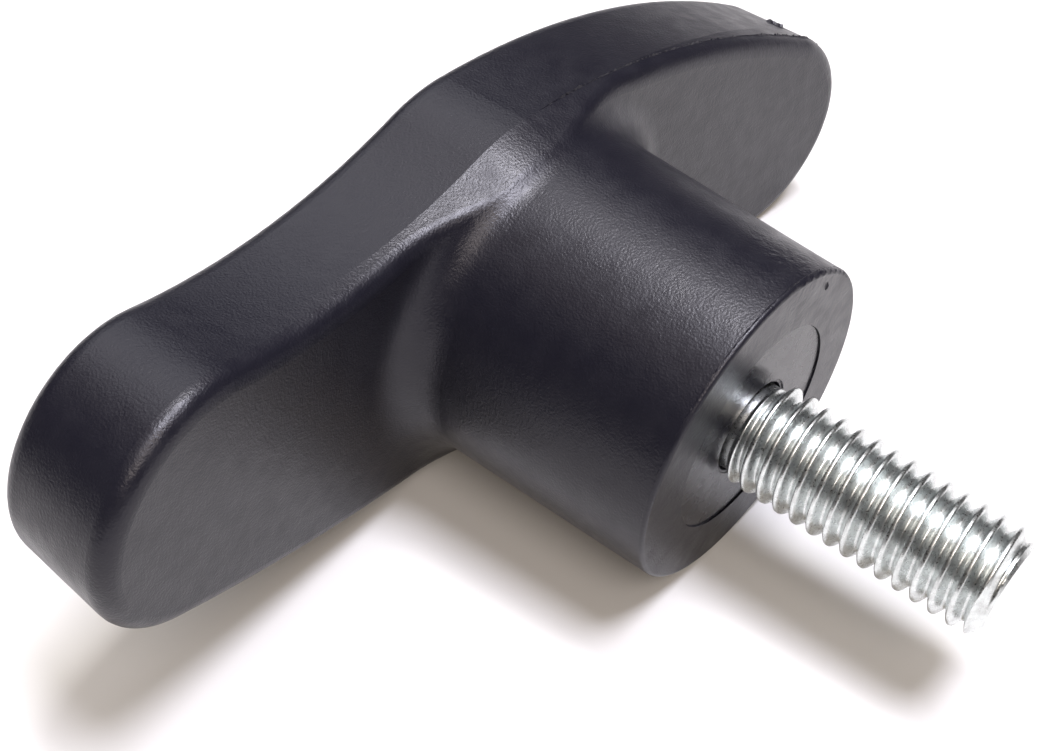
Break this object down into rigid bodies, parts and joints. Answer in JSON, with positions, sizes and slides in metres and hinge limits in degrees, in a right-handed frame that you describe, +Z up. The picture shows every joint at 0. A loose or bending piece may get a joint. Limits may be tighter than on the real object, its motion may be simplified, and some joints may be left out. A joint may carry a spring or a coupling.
{
  "type": "thumb screw",
  "caption": "Thumb screw with a black moulded S-shaped wing grip, a tapered round boss and a moulded-in zinc plated M6 threaded stud.",
  "frame": {"origin": "Middle of the bounding box in plan, at its bottom: the surface that the screw lies on.", "axes": "The screw lies on its side at rest. X runs along the two wings, the stud points towards -Y and dips slightly, and Z is up."},
  "size_m": [0.0612, 0.0388, 0.0214],
  "materials": {
    "grip_plastic": "black glass-filled nylon, satin, with a fine spark-eroded grain",
    "zinc_steel": "bright zinc plating on steel"
  },
  "bodies": {
    "root": {"wing_grip": "grip_plastic", "threaded_stud": "zinc_steel"}
  },
  "joints": []
}
